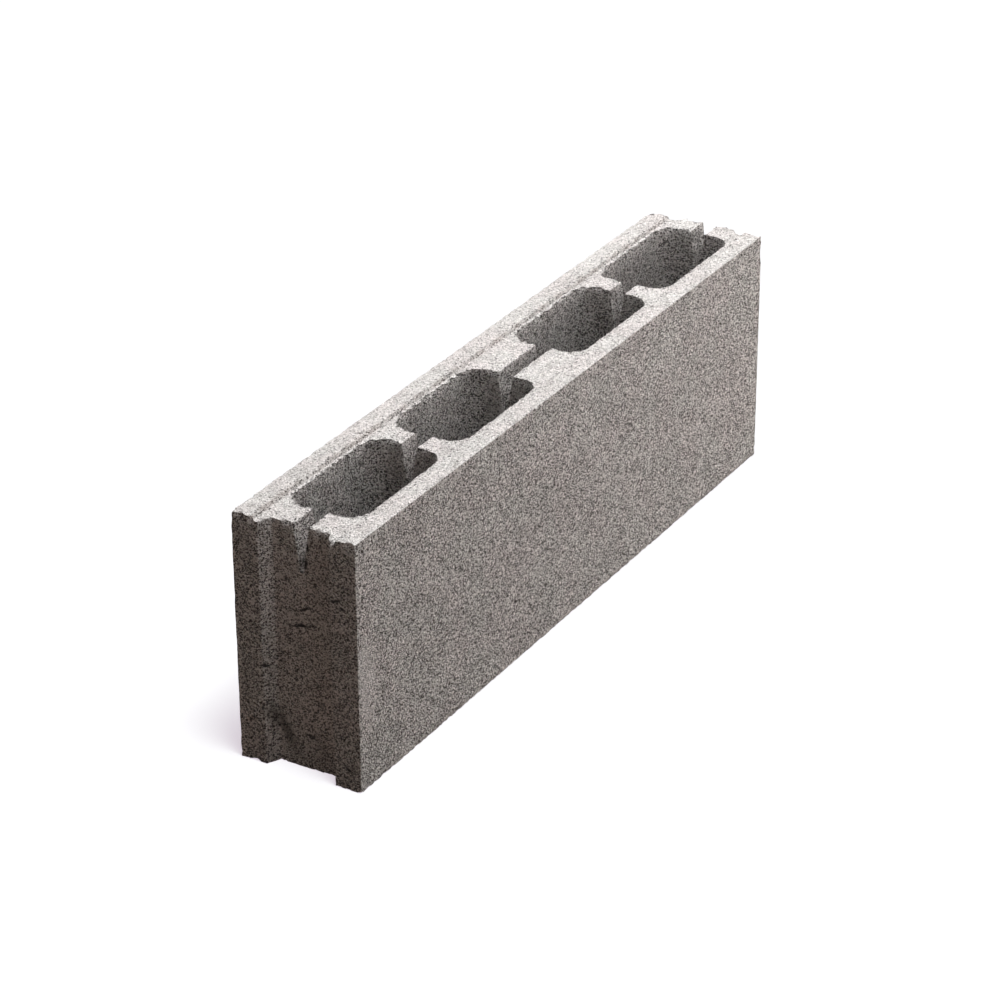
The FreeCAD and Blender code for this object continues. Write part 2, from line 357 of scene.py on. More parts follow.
def deck_grids(form, height_at):
    """Grids that tile the block's plan without the cells, each point at the height that its Y has: a
    collar round each cell, the middle web, both ends and both strips. Rows run towards +Y, or inwards
    on a collar."""
    grids = []
    collar_shares = graded(1.45, 3.4, form.collar / MM, both_ends=False)[::-1, None, None]
    for number in range(len(form.cell_centres)):
        loop, start, way = form.cell_rays(number)
        rim = start + way * form.cell_at(height_at(start[:, 1]))[:, None]
        grids.append(rim + (loop - rim) * collar_shares)
    starts = [form.cell_lines(centre)[0] for centre in form.cell_centres]
    ends = [form.cell_lines(centre)[-1] for centre in form.cell_centres]

    y = form.groove_lines()[:, None]
    face = form.left_edge(y)
    shares = form.end_shares(starts[0] - form.left)
    grids.append(np.broadcast_arrays(face + (starts[0] - face) * shares, y))
    y = form.tongue_lines()[:, None]
    grids.append(np.broadcast_arrays(spaced((ends[1], starts[2]), (form.MIDDLE_COLUMNS,)), y))
    face = form.right_edge(y)
    shares = form.end_shares(form.tip - ends[3])[::-1]
    grids.append(np.broadcast_arrays(face - (face - ends[3]) * shares, y))

    x, strip = form.length_lines(), form.strip_lines()
    grids.append(np.broadcast_arrays(x, strip[:, None]))
    grids.append(np.broadcast_arrays(x, -strip[::-1, None]))
    flat = [grid if isinstance(grid, np.ndarray) else np.stack(grid, 2) for grid in grids]
    return [lifted(grid, height_at(grid[..., 1])) for grid in flat]


def outline_loop(form):
    """The block's outline in plan, anticlockwise from the near corner of the grooved end."""
    x, strip = form.length_lines(), form.strip_lines()
    left_y = np.concatenate([-strip[:0:-1], form.groove_lines(), strip[1:]])
    right_y = np.concatenate([-strip[:0:-1], form.tongue_lines(), strip[1:]])
    sides = [
        (x, np.full_like(x, -form.half_width)),
        (form.right_edge(right_y), right_y),
        (x[::-1], np.full_like(x, form.half_width)),
        (form.left_edge(left_y)[::-1], left_y[::-1]),
    ]
    loop = np.concatenate([np.stack(side, 1)[:-1] for side in sides])
    return np.concatenate([loop, loop[:1]])


def block_grids(form):
    """All faces of the true form as grids of points whose rows and columns turn outwards."""
    grids = deck_grids(form, form.top) + [grid[::-1] for grid in deck_grids(form, np.zeros_like)]

    loop = outline_loop(form)
    shares = graded(1.35, 5.4, form.height / MM)[:, None]
    walls = np.broadcast_to(loop, (len(shares), *loop.shape))
    grids.append(lifted(walls, shares * form.top(loop[:, 1])))

    shares = graded(1.55, 11, form.height / MM)[::-1, None]
    for number in range(len(form.cell_centres)):
        _, start, way = form.cell_rays(number)
        z = shares * form.top(start[:, 1])
        grids.append(lifted(start + way * form.cell_at(z)[..., None], z))
    return grids


WELD = 0.002 * MM
WELD_SHIFT = 0.137


def welded(grids):
    """One list of points and one of four-cornered faces from several grids: points that fall in the
    same small cube are one point. The shift keeps round sizes off the cubes' sides."""
    points = np.concatenate([grid.reshape(-1, 3) for grid in grids])
    faces, first = [], 0
    for grid in grids:
        rows, columns = grid.shape[:2]
        index = first + np.arange(rows * columns).reshape(rows, columns)
        corners = (index[:-1, :-1], index[:-1, 1:], index[1:, 1:], index[1:, :-1])
        faces.append(np.stack(corners, 2).reshape(-1, 4))
        first += rows * columns
    keys = np.floor(points / WELD + WELD_SHIFT).astype(np.int64)
    _, kept, place_of = np.unique(keys, axis=0, return_index=True, return_inverse=True)
    return points[kept], place_of.reshape(-1)[np.concatenate(faces)]


def check_closed(faces):
    """Every edge of a closed surface lies in one face forwards and in one face backwards."""
    edges = np.stack([faces, np.roll(faces, -1, axis=1)], 2).reshape(-1, 2)
    codes = edges[:, 0] * (faces.max() + 1) + edges[:, 1]
    back = edges[:, 1] * (faces.max() + 1) + edges[:, 0]
    if len(np.unique(codes)) != len(codes) or not np.array_equal(np.sort(codes), np.sort(back)):
        raise RuntimeError("the block's surface isn't closed")


# Three large primes that scatter neighbouring cells over a table of random numbers, and its length.
HASH_STEPS = np.array([73856093, 19349663, 83492791])
HASH_SIZE = 4096


def lattice_index(cells):
    """A table place for each cell of a cubic lattice, from its three whole numbers."""
    mixed = cells * HASH_STEPS
    return (mixed[:, 0] ^ mixed[:, 1] ^ mixed[:, 2]) % HASH_SIZE


def lumps(points, millimetres, seed):
    """Value noise from 0 to 1: random numbers on a cubic lattice of that spacing, blended between
    the eight lattice points round each point with smooth_step shares."""
    table = np.random.default_rng(seed).random(HASH_SIZE)
    scaled = points / (millimetres * MM)
    base = np.floor(scaled).astype(np.int64)
    share = smooth_step(scaled - base)
    total = np.zeros(len(points))
    for corner in itertools.product((0, 1), repeat=3):
        weight = np.where(corner, share, 1 - share).prod(1)
        total += weight * table[lattice_index(base + corner)]
    return total


def patches(points, millimetres, seed, low, rise):
    """Lumps cut into patches: 0 where they are under the low value, 1 where they pass it by the rise."""
    return smooth_step((lumps(points, millimetres, seed) - low) / rise)


def bell(distance, millimetres):
    """A bell curve of the distance: 1 at no distance and 1/e at that many millimetres."""
    return np.exp(-(distance / (millimetres * MM)) ** 2)


def grain_bowls(points, millimetres, chance, seed):
    """Depth of the bowls that missing grains leave. Each cell of a cubic lattice holds one round
    grain at a random place, with a random radius of a quarter to half a cell, and it is missing where
    its own random number is under the chance. A bowl is as deep as its sphere there."""
    table = np.random.default_rng(seed).random((HASH_SIZE, 5))
    scaled = points / (millimetres * MM)
    base = np.floor(scaled).astype(np.int64)
    depth = np.zeros(len(points))
    for step in itertools.product((-1, 0, 1), repeat=3):
        cell = base + step
        grain = table[lattice_index(cell)]
        radius = 0.25 + 0.25 * grain[:, 3]
        away = np.linalg.norm(scaled - cell - grain[:, :3], axis=1)
        bowl = np.sqrt(np.maximum(radius ** 2 - away ** 2, 0))
        depth = np.maximum(depth, np.where(grain[:, 4] < chance, bowl, 0))
    return depth * millimetres * MM


# Each chip's middle as X, Y and Z, its radius and its depth, in millimetres.
CHIPS = (
    (296, 50, 195, 8, 2.6),
    (303, 12, 192, 5, 1.4),
    (-303.75, 50, 195, 3, 0.9),
    (-303.75, -50, 120, 3, 1.2),
    (-297, -50, 164, 2.5, 0.9),
    (-273, -50, 170, 2.5, 0.9),
    (-303.75, -50, 0, 4, 1.2),
    (-303.75, 38, 0, 6, 1.6),
    (203, 35, 195, 4, 1.4),
    (176, 31, 193, 4, 1.2),
    (247, 34, 194, 3.5, 1.2),
    (-164, -50, 195, 3, 1.2),
)

# Widths and reaches of the wear, in millimetres.
ROUND_REACH = 1.0
CRUMB_REACH = 2.2
CRUMB_WIDTH = 1.9
BITE_WIDTH = 3.5
LOST_GRAIN_PITCH = 4.5
SLOW_SWELL, QUICK_SWELL = 30, 6
GROOVED_END_REACH, TONGUED_END_REACH = 8, 12
FRAIL_RISE = 20
RIM_REACH, RIM_DEPTH, RIM_LUMP = 2.2, 3, 2.6
SIDE_CHANGE = 20


def wear(points, form, look):
    """Depth of concrete missing at each point. Near an arris, by a bell curve, it is a slight round,
    crumbs and wider bites, more of them along the top of the two ends. It is least halfway up, where
    nothing knocks. On a face it is a slow and a quicker unevenness and the bowls of lost grains.
    Chips are round and smooth to their rim."""
    arris = form.arris_distance(points)
    near, wide = bell(arris, ROUND_REACH), bell(arris, CRUMB_REACH)
    at_end = bell(points[:, 0] - form.left, GROOVED_END_REACH)
    at_end += bell(points[:, 0] - form.tip, TONGUED_END_REACH)
    frail = at_end * smooth_step((points[:, 2] - form.notch_root) / (FRAIL_RISE * MM))

    crumbs = patches(points, CRUMB_WIDTH, 11, 0.35, 0.4)
    bites = patches(points, BITE_WIDTH, 12, 0.55, 0.2)
    knocked = 0.35 + 0.65 * smooth_step(np.abs(points[:, 2] / form.height - 0.5) * 5 - 1.4)
    depth = look.crumble * knocked * near * (0.15 + 0.7 * crumbs)
    depth += look.crumble * knocked * wide * (0.2 + frail) * (0.8 * crumbs + 0.8 * bites)
    depth += 0.6 * grain_bowls(points, LOST_GRAIN_PITCH, 0.04 + 0.3 * wide * frail, 13)
    depth += look.relief * lumps(points, SLOW_SWELL, 14) + 0.4 * look.relief * lumps(points, QUICK_SWELL, 15)
    for x, y, z, radius, chip_depth in CHIPS:
        away = np.linalg.norm(points - np.array([x, y, z]) * MM, axis=1)
        depth += chip_depth * MM * smooth_step(1 - away / (radius * MM))
    return depth


def rim_bites(points, form, look):
    """Sideways shift of the points near the top: away from the nearest cell, and inwards from each end,
    by a bell curve of the distance to that rim in plan and of the depth below the webs. How ragged
    it is depends on the place along the rim alone, so no two points change places. The cells' rims
    are bitten more towards +Y."""
    nearest = form.cell_centres[np.abs(points[:, 0, None] - form.cell_centres).argmin(1)]
    centre = np.stack([nearest, np.zeros_like(nearest)], 1)
    half = np.array([form.core_half_length, form.core_half_width])
    start = centre + np.clip(points[:, :2] - centre, -half, half)
    way = points[:, :2] - start
    away = np.linalg.norm(way, axis=1)
    way /= np.maximum(away, WELD)[:, None]
    level = np.full(len(points), form.web_top)
    near_top = bell(np.maximum(form.web_top - points[:, 2], 0), RIM_DEPTH)

    shift = np.zeros_like(points)
    share = near_top * bell(away - form.radius, RIM_REACH)
    share *= 0.35 + 0.75 * smooth_step(points[:, 1] / (SIDE_CHANGE * MM) + 0.5)
    on_rim = np.column_stack([start + way * form.radius, level])
    ragged = patches(on_rim, RIM_LUMP, 17, 0.35, 0.4)
    shift[:, :2] = way * (look.rim_bite * share * ragged)[:, None]
    ends = ((form.left_edge(points[:, 1]), 1, 18), (form.right_edge(points[:, 1]), -1, 19))
    for edge, inwards, seed in ends:
        share = near_top * bell(points[:, 0] - edge, RIM_REACH)
        on_rim = np.column_stack([edge, points[:, 1], level])
        ragged = patches(on_rim, RIM_LUMP, seed, 0.35, 0.4)
        shift[:, 0] += inwards * look.rim_bite * share * ragged
    return shift


def wear_down(mesh, form, look):
    """Moves each point sideways by the bites out of the rims and inwards along its normal by the depth
    of wear there, and then back inside the block's own box where a slanted normal would carry it out.
    Returns the points as they were."""
    points = np.empty(len(mesh.vertices) * 3, np.float32)
    normals = np.empty_like(points)
    mesh.vertices.foreach_get("co", points)
    mesh.vertices.foreach_get("normal", normals)
    points = points.reshape(-1, 3).astype(float)
    worn = points - normals.reshape(-1, 3) * wear(points, form, look)[:, None]
    worn += rim_bites(points, form, look)
    worn = np.clip(worn, np.array(CAST_LOW), np.array(CAST_HIGH))
    mesh.vertices.foreach_set("co", worn.astype(np.float32).ravel())
    mesh.update()
    return points


def add_mask(mesh, name, values):
    """Stores one number from 0 to 1 for each point of a mesh, for its material to read."""
    attribute = mesh.attributes.new(name, "FLOAT", "POINT")
    attribute.data.foreach_set("value", np.clip(values, 0, 1).astype(np.float32))


def soft_spot(points, centre, sizes, seed):
    """A blurred oval patch with a ragged rim: 1 in the middle and 0 past the sizes, in millimetres."""
    away = np.linalg.norm((points / MM - centre) / sizes, axis=1)
    ragged = away + 0.9 * (lumps(points, 7, seed) - 0.5) + 0.5 * (lumps(points, 2.5, seed + 1) - 0.5)
    return smooth_step(1.2 - ragged)


CRISP_ANGLE = math.radians(35)
TAMPED_AND_LIT_DEPTH = 0.8 * MM
CORE_SKIN = 2 * MM

# Widths of the rims, of the stain and of its patches, and the scuff's middle and sizes, in millimetres.
RIM_WIDTH, STAIN_WIDTH, STAIN_PITCH = 2.5, 2.2, 9
SCUFF_MIDDLE, SCUFF_SIZES = (-292, -50, 84), (14, 4, 34)


def build_block(form, look):
    """The block's mesh: its true form, worn down, with masks for its material: the faces that the cores
    shaped, the top, which the head pressed and which is also painted paler for its light, the rims, the
    notch's slopes, painted darker the lower they lie for the shade down the notch, a scuff and a stain along
    one strip."""
    points, faces = welded(block_grids(form))
    check_closed(faces)
    mesh = bpy.data.meshes.new(PIECE)
    mesh.from_pydata(points, (), faces)
    mesh.polygons.foreach_set("use_smooth", np.ones(len(faces), bool))
    mesh.update()
    true_points = wear_down(mesh, form, look)
    mesh.set_sharp_from_angle(angle=CRISP_ANGLE)

    y, z = true_points[:, 1], true_points[:, 2]
    top_here = form.top(y)
    in_notch = (np.abs(z - top_here) < 0.5 * MM) & (np.abs(y) < form.notch_top)
    down_notch = (form.web_top - z) / (form.web_top - form.notch_root)
    on_strip = smooth_step((z - form.web_top) / (2 * MM) + 1)
    stain = patches(true_points, STAIN_PITCH, 37, 0.3, 0.4)
    masks = {
        "core_face": 1 - form.cell_distance(true_points) / CORE_SKIN,
        # The top's mask: the tamping head pressed it closer, and it also carries painted light, a paler top
        # with fewer dark pores standing in for the overhead light on it.
        "tamped": smooth_step((z - top_here) / TAMPED_AND_LIT_DEPTH + 1) * (z > form.web_top - TAMPED_AND_LIT_DEPTH),
        "rim": bell(form.rim_distance(true_points), RIM_WIDTH),
        # Painted shade: the notch's slopes grow darker the lower they lie, standing in for the shade deep in
        # the notch.
        "notch_face": in_notch * smooth_step(down_notch / 0.7),
        "scuff": soft_spot(true_points, SCUFF_MIDDLE, SCUFF_SIZES, 35),
        "strip_line": bell(y - form.strip_edge, STAIN_WIDTH) * on_strip * stain,
    }
    for name, values in masks.items():
        add_mask(mesh, name, values)
    return mesh


def per(millimetres):
    """Texture scale at which a pattern's features are that far apart, on coordinates in metres."""
    return 1 / (millimetres * MM)


def in_use(sockets, key):
    """The socket with that name or place among those that the node's settings leave in use."""
    enabled = [socket for socket in sockets if socket.enabled]
    if isinstance(key, int):
        return enabled[key]
    return next(socket for socket in enabled if socket.name == key)


def add_node(tree, kind, inputs=(), output=0, **settings):
    """Adds a node, sets its properties, links or sets its inputs, each by its name or place, and
    returns the chosen output. Other outputs are reached through that one's node."""
    node = tree.nodes.new(kind)
    for name, value in settings.items():
        setattr(node, name, value)
    for key, value in dict(inputs).items():
        socket = in_use(node.inputs, key)
        if isinstance(value, bpy.types.NodeSocket):
            tree.links.new(value, socket)
        else:
            socket.default_value = value
    return in_use(node.outputs, output) if node.outputs else None


# Real widths of what the concrete's surface shows, in millimetres.
GRAIN_WIDTH = 0.95
PEBBLE_WIDTH = 1.55
SAND_WIDTH = 1.2
CLUMP_WIDTH = 8
DRIFT_WIDTH = 32
STREAK_WIDTH = 2.4
RELIEF_DEPTH = 1.8

# Heights over which the smearing of the pores and the streaks set in, upwards.
SMEARED = (CAST_HIGH.z - 17 * MM, CAST_HIGH.z - 2 * MM)
STREAKED = (CAST_HIGH.z - 30 * MM, CAST_HIGH.z - 10 * MM)

# Share of the pebbles' places that are pores, and what the top, the rims and the smeared band
# add to it. The top's smaller share is partly its tamping and partly painted light, fewer dark pores
# standing in for the overhead light that washes out its specks.
PORE_SHARE = 0.49
TAMPED_AND_LIT_CHANGE, RIM_CHANGE, SMEARED_CHANGE = -0.31, 0.25, -0.17

# Marks on the grooved end: the middle's Y and Z, half the length and half the width in millimetres,
# and the slope in degrees.
MARKS = {
    "tear": (
        (-1, 128, 8, 1.4, -30), (3, 113.5, 18, 1.5, -16), (-33, 148.2, 6.5, 1.4, 0),
        (-38.3, 142.9, 3, 1.3, -16), (27.5, 79, 2.8, 1.2, 0), (18.9, 87.5, 2.2, 1.2, 0),
        (-2.8, 26.6, 6.2, 1.4, -4), (-39.5, 17, 5, 1.3, 39), (22.4, 84.3, 1.4, 1.2, 0),
        (11, 59.6, 1.4, 1.2, 0), (-20.3, 108.7, 1.4, 1.2, 0), (-4.6, 175, 4.5, 2.2, -80),
        (-3.2, 164, 4.5, 2.4, -80),
    ),
    "damp": ((18, 28, 25, 7, 66),),
    "rust": ((40, 34.5, 6, 4, 0),),
}
MARK_EDGES = {"tear": (0.55, 1.15), "damp": (0.3, 1.3), "rust": (0.2, 1.4)}

# In millimetres, a mark's middle lies halfway down the groove and it reaches past both sides of it,
# so that the groove's floor and the end face show it alike. Clumps shift it by up to the last number.
MARK_INSET = 5
MARK_REACH = 9
MARK_SHAKE = 9


def add_pores(tree, pebble, height, masks):
    """Depth of the pores from 0 to 1. A pore is the middle of a pebble's place that is left empty: few
    on the top, which the head presses and where fewer dark pores also stand in for its overhead light,
    and in the band below it that the head smears, more at the rims."""
    luck = add_node(tree, "ShaderNodeSeparateColor", {0: pebble}, "Red")
    smeared = add_node(
        tree, "ShaderNodeMapRange", {"Value": height, "From Min": SMEARED[0], "From Max": SMEARED[1]}
    )
    # Fewer pores on the top are partly painted light: fewer dark specks stand in for the overhead light on
    # it.
    changes = (
        (masks["tamped"], TAMPED_AND_LIT_CHANGE), (masks["rim"], RIM_CHANGE), (smeared, SMEARED_CHANGE)
    )
    chance = PORE_SHARE
    for mask, change in changes:
        chance = add_node(tree, "ShaderNodeMath", {0: mask, 1: change, 2: chance}, operation="MULTIPLY_ADD")
    empty = add_node(tree, "ShaderNodeMath", {0: luck, 1: chance}, operation="LESS_THAN")
    away = pebble.node.outputs["Distance"]
    hollow = add_node(
        tree, "ShaderNodeMapRange",
        {"Value": away, "From Min": 0.38, "From Max": 0.5, "To Min": 1, "To Max": 0},
    )
    return add_node(tree, "ShaderNodeMath", {0: hollow, 1: empty}, operation="MULTIPLY")


def add_marks(tree, coords, clump):
    """Strength of each kind of mark: sloping ovals on the grooved end, shifted up and down a little by
    the clumps, half of the shift being their mean, so that their rims are ragged."""
    rise = add_node(tree, "ShaderNodeCombineXYZ", {"Z": clump})
    shaken = add_node(
        tree, "ShaderNodeVectorMath", {0: rise, 1: (0, 0, MARK_SHAKE * MM), 2: coords},
        operation="MULTIPLY_ADD",
    )
    marks = {}
    for kind, places in MARKS.items():
        marks[kind] = 0.0
        low, high = MARK_EDGES[kind]
        for y, z, half_length, half_width, slope in places:
            middle = (CAST_LOW.x + MARK_INSET * MM, y * MM, (z + MARK_SHAKE / 2) * MM)
            halves = (MARK_REACH * MM, half_length * MM, half_width * MM)
            turn = (math.radians(slope), 0, 0)
            oval = add_node(
                tree, "ShaderNodeMapping",
                {"Vector": shaken, "Location": middle, "Rotation": turn, "Scale": halves},
                vector_type="TEXTURE",
            )
            away = add_node(tree, "ShaderNodeVectorMath", {0: oval}, "Value", operation="LENGTH")
            mark = add_node(
                tree, "ShaderNodeMapRange",
                {"Value": away, "From Min": low, "From Max": high, "To Min": 1, "To Max": 0},
                interpolation_type="SMOOTHSTEP",
            )
            marks[kind] = add_node(tree, "ShaderNodeMath", {0: marks[kind], 1: mark}, operation="MAXIMUM")
    return marks


def add_streaks(tree, coords, height):
    """Strength of the thin upright streaks that the mould's side drags into the top 30 mm."""
    stretched = add_node(tree, "ShaderNodeVectorMath", {0: coords, 1: (1, 1, 0.05)}, operation="MULTIPLY")
    streak = add_node(
        tree, "ShaderNodeTexNoise", {"Vector": stretched, "Scale": per(STREAK_WIDTH), "Detail": 1}
    )
    near_top = add_node(
        tree, "ShaderNodeMapRange", {"Value": height, "From Min": STREAKED[0], "From Max": STREAKED[1]}
    )
    return add_node(tree, "ShaderNodeMath", {0: streak, 1: near_top}, operation="MULTIPLY")


def add_coats(tree, tone, coats):
    """Lays coats over a tone, one after the other. Each has the field that it follows, the field's
    range, its share at both ends of that range, its colour and its way of blending."""
    for field, low, high, first, last, coat_colour, blend in coats:
        share = add_node(
            tree, "ShaderNodeMapRange",
            {"Value": field, "From Min": low, "From Max": high, "To Min": first, "To Max": last},
            interpolation_type="SMOOTHSTEP",
        )
        tone = add_node(
            tree, "ShaderNodeMix", {0: share, 1: tone, 2: (*coat_colour, 1)},
            data_type="RGBA", blend_type=blend,
        )
    return tone


def add_relief(tree, fields, rougher):
    """A bump of the weighted fields' sum, up to 1.4 times as deep where the rougher mask is 1."""
    relief = 0.0
    for field, weight in fields:
        relief = add_node(tree, "ShaderNodeMath", {0: field, 1: weight, 2: relief}, operation="MULTIPLY_ADD")
    gain = add_node(tree, "ShaderNodeMath", {0: rougher, 1: 0.4, 2: 1.0}, operation="MULTIPLY_ADD")
    relief = add_node(tree, "ShaderNodeMath", {0: relief, 1: gain}, operation="MULTIPLY")
    return add_node(
        tree, "ShaderNodeBump", {"Height": relief, "Distance": RELIEF_DEPTH * MM, "Strength": 1.0}
    )


def pressed_concrete(look):
    """Vibrated and pressed concrete of sand and fine gravel with little paste, as it leaves the mould.
    The eye sees single grains of about 1 mm, pale and dark, with small pores where paste is missing,
    painted near black for the shade in them, no gloss at all, and a tone that drifts slowly from warm
    to cool grey. The top is pressed closer by the tamping head and painted paler, partly standing in for
    the overhead light that washes out its specks, and the surface is torn only where the mould dragged on
    the end."""
    material = bpy.data.materials.new("pressed_concrete")
    material.use_nodes = True
    tree = material.node_tree
    tree.nodes.clear()
    coords = add_node(tree, "ShaderNodeTexCoord", output="Object")
    height = add_node(tree, "ShaderNodeSeparateXYZ", {0: coords}, "Z")
    # Grains lie flat: every pattern of theirs is squeezed in height.
    lying = add_node(tree, "ShaderNodeVectorMath", {0: coords, 1: (1, 1, 1.3)}, operation="MULTIPLY")

    grain = add_node(tree, "ShaderNodeTexVoronoi", {"Vector": lying, "Scale": per(GRAIN_WIDTH)}, "Color")
    grain_tone = add_node(tree, "ShaderNodeSeparateColor", {0: grain}, "Red")
    grain_rise = grain_tone.node.outputs["Green"]
    pebble = add_node(tree, "ShaderNodeTexVoronoi", {"Vector": lying, "Scale": per(PEBBLE_WIDTH)}, "Color")
    sand = add_node(tree, "ShaderNodeTexNoise", {"Vector": lying, "Scale": per(SAND_WIDTH), "Detail": 1})
    clump = add_node(tree, "ShaderNodeTexNoise", {"Vector": coords, "Scale": per(CLUMP_WIDTH), "Detail": 2})
    drift = add_node(
        tree, "ShaderNodeTexNoise", {"Vector": coords, "Scale": per(DRIFT_WIDTH), "Detail": 1}, "Color"
    )
    warmth = add_node(tree, "ShaderNodeSeparateColor", {0: drift}, "Red")
    dirt = warmth.node.outputs["Green"]
    masks = {
        name: add_node(tree, "ShaderNodeAttribute", output="Fac", attribute_name=name)
        for name in ("core_face", "tamped", "rim", "notch_face", "scuff", "strip_line")
    }

    marks = add_marks(tree, coords, clump)
    pores = add_pores(tree, pebble, height, masks)
    holes = add_node(tree, "ShaderNodeMath", {0: pores, 1: marks["tear"]}, operation="MAXIMUM")
    tone = add_coats(tree, (*look.paste, 1), (
        (grain_tone, 0.52, 0.68, 0, 1, look.pale_grain, "MIX"),
        (grain_tone, 0.1, 0.3, 1, 0, look.dark_grain, "MIX"),
        # Painted light: the top is made paler, partly for its tamping and partly standing in for the
        # overhead light on it.
        (masks["tamped"], 0, 1, 0, 0.35, look.pale_grain, "MIX"),
        (clump, 0.3, 0.6, 0.15, 0, look.dark_grain, "MIX"),
        (dirt, 0.3, 0.7, 0.08, 0, look.dark_grain, "MIX"),
        (warmth, 0.35, 0.65, 0.16, 0, linear("fff0f0"), "MULTIPLY"),
        (warmth, 0.35, 0.65, 0, 0.16, linear("f0f6f0"), "MULTIPLY"),
        (add_streaks(tree, coords, height), 0.4, 0.65, 0, 0.2, look.dark_grain, "MIX"),
        # Painted shade that deepens down the notch's slopes.
        (masks["notch_face"], 0, 1, 0, 0.1, look.dark_grain, "MIX"),
        # Painted shade: the pores and the torn patches are painted near black for the shade in their
        # hollows.
        (holes, 0, 1, 0, 0.92, look.pore, "MIX"),
        (marks["damp"], 0, 1, 0, 0.75, linear("5b534a"), "MULTIPLY"),
        (marks["rust"], 0, 1, 0, 0.35, linear("b0805c"), "MULTIPLY"),
        (masks["scuff"], 0, 1, 0, 0.35, look.pale_grain, "MIX"),
        (masks["strip_line"], 0, 1, 0, 0.15, linear("8f7768"), "MIX"),
    ))
    fields = ((sand, 1.1), (clump, 1.0), (grain_rise, 0.25), (holes, -1.0))
    bump = add_relief(tree, fields, masks["core_face"])
    shader = add_node(
        tree, "ShaderNodeBsdfPrincipled",
        {"Base Color": tone, "Normal": bump, "Roughness": 0.95, "Specular IOR Level": 0.12},
    )
    add_node(tree, "ShaderNodeOutputMaterial", {"Surface": shader})
    return material


def studio_paper():
    """Matt white background paper with a faint glow of its own. The eye sees an even white, and a soft
    shadow that is slightly violet, because the glow is."""
    material = bpy.data.materials.new("studio_paper")
    material.use_nodes = True
    tree = material.node_tree
    tree.nodes.clear()
    lit = add_node(tree, "ShaderNodeBsdfDiffuse", {"Color": (*linear("dfede3"), 1)})
    glow = add_node(tree, "ShaderNodeEmission", {"Color": (*linear("d6ced6"), 1), "Strength": 1})
    surface = add_node(tree, "ShaderNodeAddShader", {0: lit, 1: glow})
    add_node(tree, "ShaderNodeOutputMaterial", {"Surface": surface})
    return material


def grey_card():
    """Matt grey card, which throws a little warm light back on the block and isn't seen itself."""
    material = bpy.data.materials.new("grey_card")
    material.use_nodes = True
    tree = material.node_tree
    tree.nodes.clear()
    grey = add_node(tree, "ShaderNodeBsdfDiffuse", {"Color": (*linear("71665e"), 1)})
    add_node(tree, "ShaderNodeOutputMaterial", {"Surface": grey})
    return material


# The paper's reach to each side and its rise at the rim in metres, and the lines of its grid.
PAPER_REACH = 9
PAPER_RISE = 5
PAPER_LINES = 61
FLAT_SHARE = 0.4


def paper_sweep():
    """A square sheet of paper: flat round the block, and past a share of its reach it rises by
    smooth_step of the distance from the middle."""
    line = np.linspace(-PAPER_REACH, PAPER_REACH, PAPER_LINES)
    x, y = np.meshgrid(line, line)
    return np.stack([x, y, PAPER_RISE * smooth_step(np.hypot(x, y) / PAPER_REACH - FLAT_SHARE)], 2)


def add_sheet(name, material):
    """A stage sheet of paper or card under and round the block, which shades nothing itself."""
    points, faces = welded([paper_sweep()])
    mesh = bpy.data.meshes.new(name)
    mesh.from_pydata(points, (), faces)
    mesh.materials.append(material)
    sheet = bpy.data.objects.new(name, mesh)
    sheet.visible_shadow = False
    bpy.context.scene.collection.objects.link(sheet)
    return sheet


def add_lamp(name, lamp, spot, aim, lit):
    """Sets a lamp at a spot in metres, turned towards its aim, and out of the picture. It lights the
    listed objects alone."""
    stand = bpy.data.objects.new(name, lamp)
    stand.visible_camera = False
    bpy.context.scene.collection.objects.link(stand)
    turn = (Vector(spot) - Vector(aim)).to_track_quat("Z", "Y").to_matrix().to_4x4()
    stand.matrix_world = Matrix.Translation(spot) @ turn
    receivers = bpy.data.collections.new(f"lit_by_{name}")
    for item in lit:
        receivers.objects.link(item)
    stand.light_linking.receiver_collection = receivers


def add_soft_box(name, watts, hex_code, size, spot, aim, lit):
    """A square area lamp."""
    lamp = bpy.data.lights.new(name, "AREA")
    lamp.shape, lamp.size, lamp.energy, lamp.color = "SQUARE", size, watts, linear(hex_code)
    add_lamp(name, lamp, spot, aim, lit)


SENSOR_WIDTH = 36
FLOOR_LIGHT_WIDTH = math.radians(20)
FLOOR_LIGHT_WAY = (-0.07, -0.25, 0.966)


def add_floor_light(strength, lit):
    """An even distant light that comes down steeply from the front. Its width is the angle that it
    fills seen from the floor."""
    lamp = bpy.data.lights.new("floor_light", "SUN")
    lamp.energy, lamp.angle = strength, FLOOR_LIGHT_WIDTH
    add_lamp("floor_light", lamp, FLOOR_LIGHT_WAY, (0, 0, 0), lit)


def add_world(scene):
    """A world that is white to the camera and in mirrors, and lights nothing."""
    world = bpy.data.worlds.new("studio_air")
    scene.world = world
    world.use_nodes = True
    tree = world.node_tree
    tree.nodes.clear()
    seen = add_node(tree, "ShaderNodeLightPath", output="Is Camera Ray")
    rays = seen.node.outputs
    for ray in ("Is Glossy Ray", "Is Transmission Ray"):
        seen = add_node(tree, "ShaderNodeMath", {0: seen, 1: rays[ray]}, operation="MAXIMUM")
    surface = add_node(tree, "ShaderNodeBackground", {"Color": (1, 1, 1, 1), "Strength": seen})
    add_node(tree, "ShaderNodeOutputWorld", {"Surface": surface})


